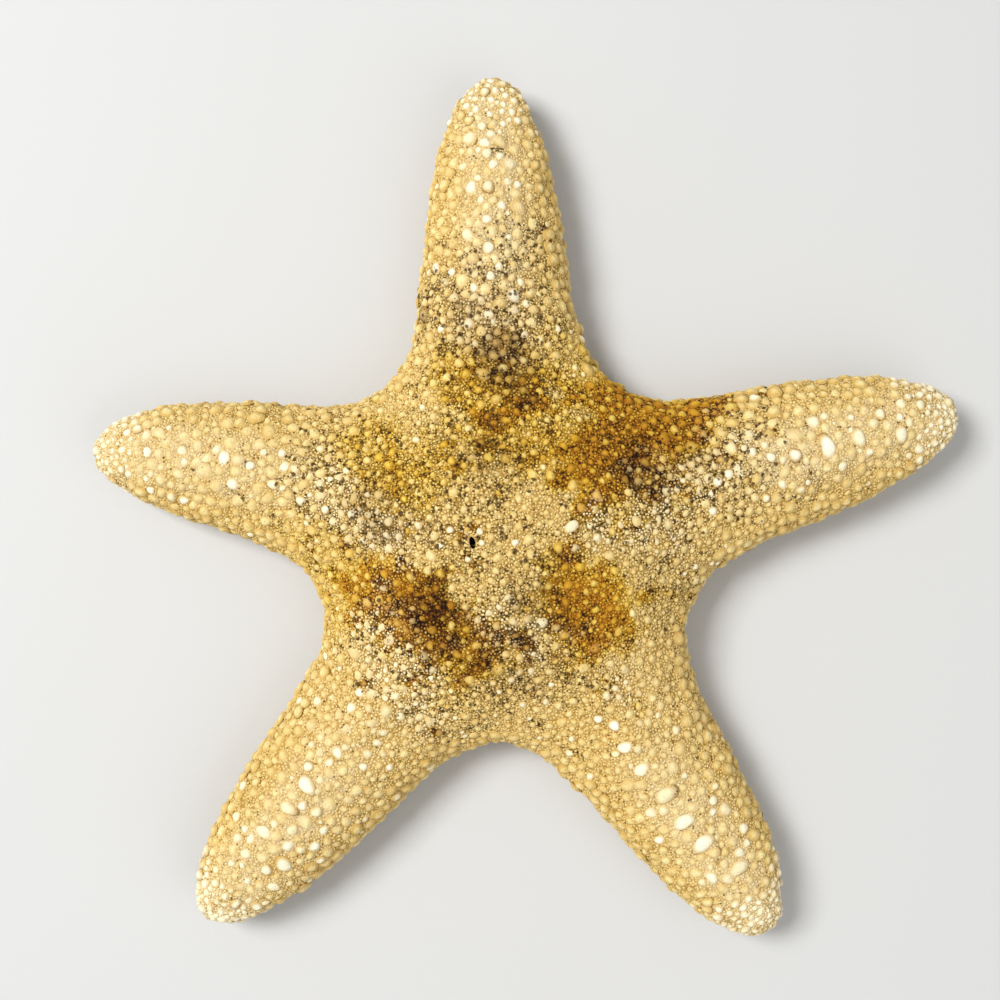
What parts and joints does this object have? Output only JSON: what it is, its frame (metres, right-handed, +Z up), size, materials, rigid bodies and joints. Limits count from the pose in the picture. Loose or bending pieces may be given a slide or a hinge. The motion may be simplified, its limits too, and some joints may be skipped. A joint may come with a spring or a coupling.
{
  "type": "dried starfish",
  "caption": "Dried starfish with thick blunt tapering arms, a domed granular back, and grooves running to a central mouth on its flat underside.",
  "frame": {"origin": "on the ground under the middle of the bounding box, with the starfish lying on its flat underside", "axes": "+Z up, out of the domed back; +Y towards the arm that points up when it is looked down on; +X to the right of that arm"},
  "size_m": [0.1996, 0.197, 0.0307],
  "materials": {
    "dried_skin": "matte",
    "granules": "matte",
    "spines": "matte"
  },
  "bodies": {
    "root": {"starfish": "dried_skin"}
  },
  "joints": []
}
